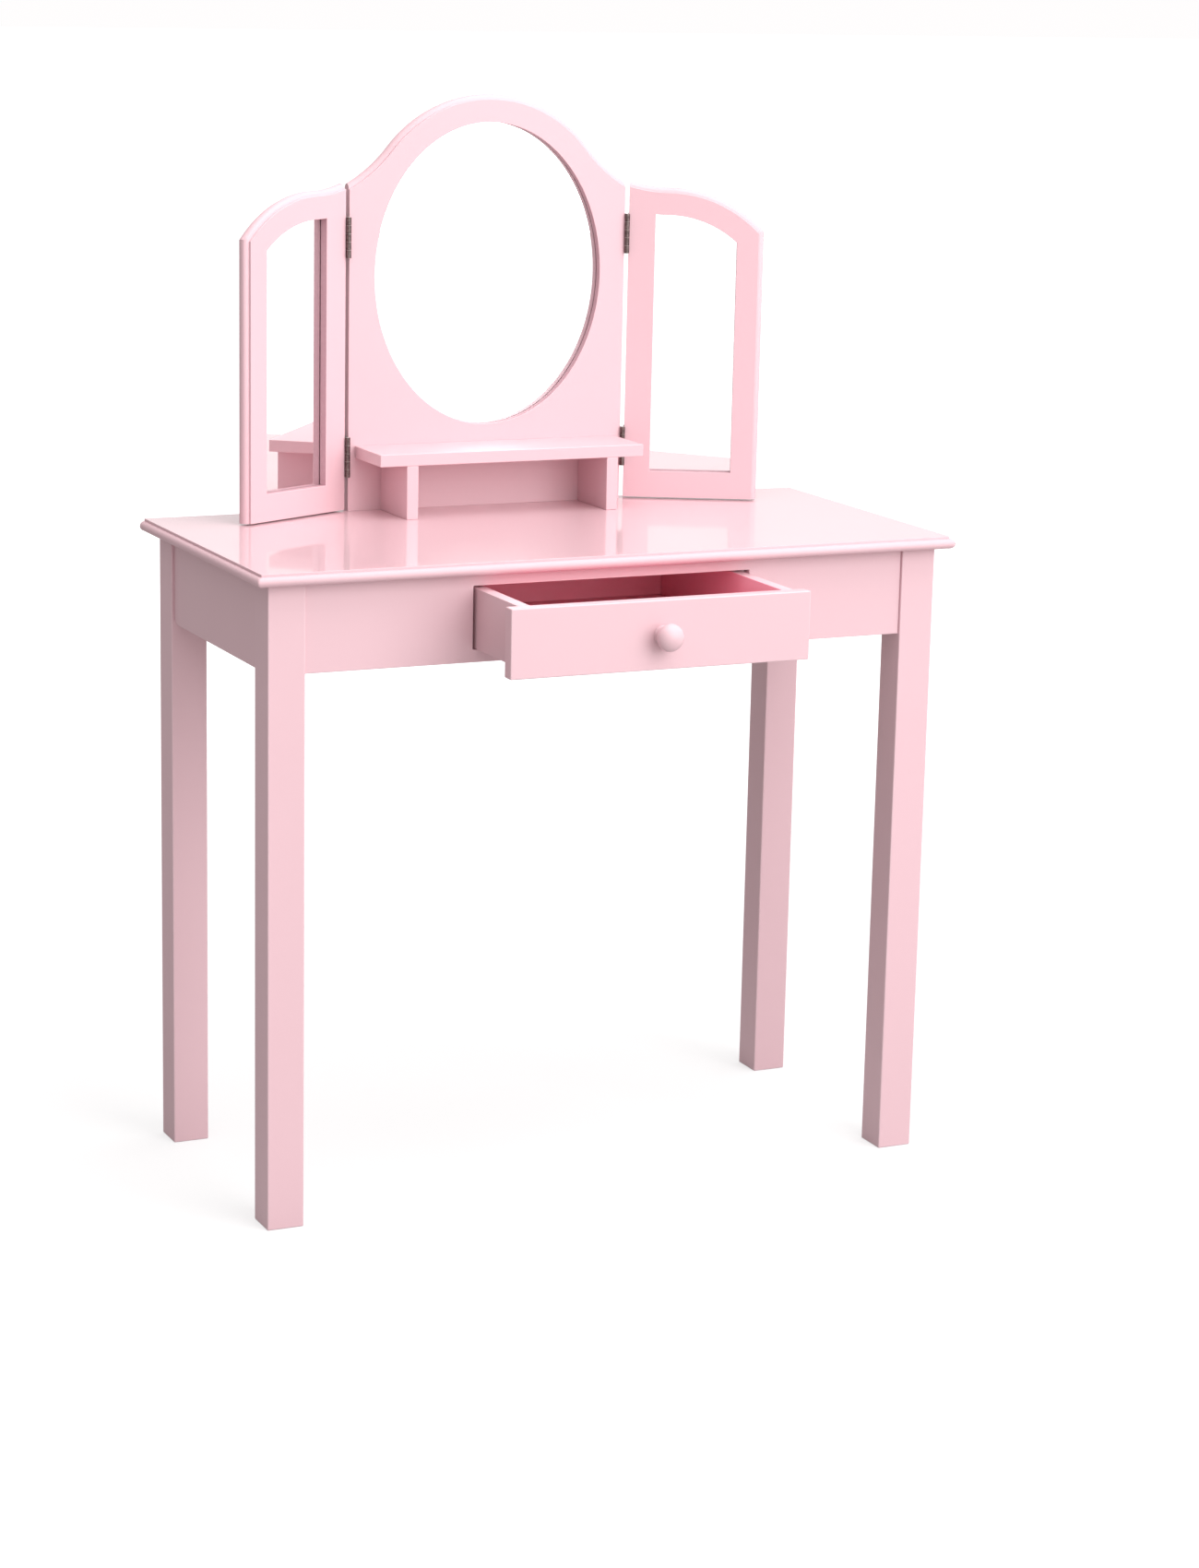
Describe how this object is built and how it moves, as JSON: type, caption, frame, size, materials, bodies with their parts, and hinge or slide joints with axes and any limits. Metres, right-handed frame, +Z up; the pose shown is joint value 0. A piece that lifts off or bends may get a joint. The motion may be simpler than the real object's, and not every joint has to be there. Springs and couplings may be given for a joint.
{
  "type": "vanity table with mirror",
  "caption": "Low dressing table on square legs with one drawer, a fixed arched mirror behind a small shelf, and two mirror wings that fold forward on butt hinges.",
  "frame": {"origin": "on the floor, under the middle of the bounding box that the piece fills with its drawer partly open", "axes": "+Z up, +Y towards the back of the table (away from the person who sits at it), +X to that person's right"},
  "size_m": [0.72, 0.455, 1.033],
  "materials": {
    "pink_paint": "pale pink gloss paint on fibreboard and wood",
    "mirror_glass": "silvered glass",
    "hardboard": "smooth brown hardboard",
    "plain_wood": "planed softwood, unpainted",
    "steel": "zinc-plated steel",
    "hinge_metal": "dark nickel-plated steel"
  },
  "bodies": {
    "table": {"table_top": "pink_paint", "leg_front_left": "pink_paint", "leg_front_right": "pink_paint", "leg_back_left": "pink_paint", "leg_back_right": "pink_paint", "apron_front": "pink_paint", "apron_back": "pink_paint", "apron_left": "pink_paint", "apron_right": "pink_paint", "brace_front_left": "pink_paint", "brace_front_right": "pink_paint", "brace_back_left": "pink_paint", "brace_back_right": "pink_paint", "brace_screws": "steel", "leg_bolts": "steel", "leg_washers": "steel", "leg_nuts": "steel", "glue_blocks": "plain_wood", "runner_left": "plain_wood", "runner_right": "plain_wood", "runner_screws": "steel", "center_frame": "pink_paint", "center_mirror": "mirror_glass", "center_backing": "hardboard", "center_backing_screws": "steel", "shelf_board": "pink_paint", "shelf_support_left": "pink_paint", "shelf_support_right": "pink_paint", "shelf_screws": "steel", "panel_screws": "steel", "hinge_fixed_leaf_lower_left": "hinge_metal", "hinge_fixed_leaf_upper_left": "hinge_metal", "hinge_fixed_leaf_lower_right": "hinge_metal", "hinge_fixed_leaf_upper_right": "hinge_metal", "hinge_pins_left": "hinge_metal", "hinge_pins_right": "hinge_metal", "hinge_screws_center": "steel"},
    "wing_left": {"wing_frame_left": "pink_paint", "wing_mirror_left": "mirror_glass", "wing_backing_left": "hardboard", "wing_backing_screws_left": "steel", "hinge_wing_leaf_lower_left": "hinge_metal", "hinge_wing_leaf_upper_left": "hinge_metal", "hinge_screws_wing_left": "steel"},
    "wing_right": {"wing_frame_right": "pink_paint", "wing_mirror_right": "mirror_glass", "wing_backing_right": "hardboard", "wing_backing_screws_right": "steel", "hinge_wing_leaf_lower_right": "hinge_metal", "hinge_wing_leaf_upper_right": "hinge_metal", "hinge_screws_wing_right": "steel"},
    "drawer": {"drawer_front": "pink_paint", "drawer_side_left": "pink_paint", "drawer_side_right": "pink_paint", "drawer_back": "pink_paint", "drawer_bottom": "pink_paint", "drawer_dowels": "plain_wood", "drawer_knob": "pink_paint", "knob_screw": "steel"}
  },
  "joints": [
    {"name": "drawer_slide", "type": "slide", "parent": "table", "child": "drawer", "axis": [0, -1, 0], "range_m": [-0.0935, 0.108]},
    {"name": "wing_left_hinge", "type": "hinge", "parent": "table", "child": "wing_left", "pos_m": [-0.1505, 0.21, 0.785], "axis": [0, 0, 1], "range_deg": [-26, 69]},
    {"name": "wing_right_hinge", "type": "hinge", "parent": "table", "child": "wing_right", "pos_m": [0.1505, 0.21, 0.785], "axis": [0, 0, -1], "range_deg": [-26, 69]}
  ]
}
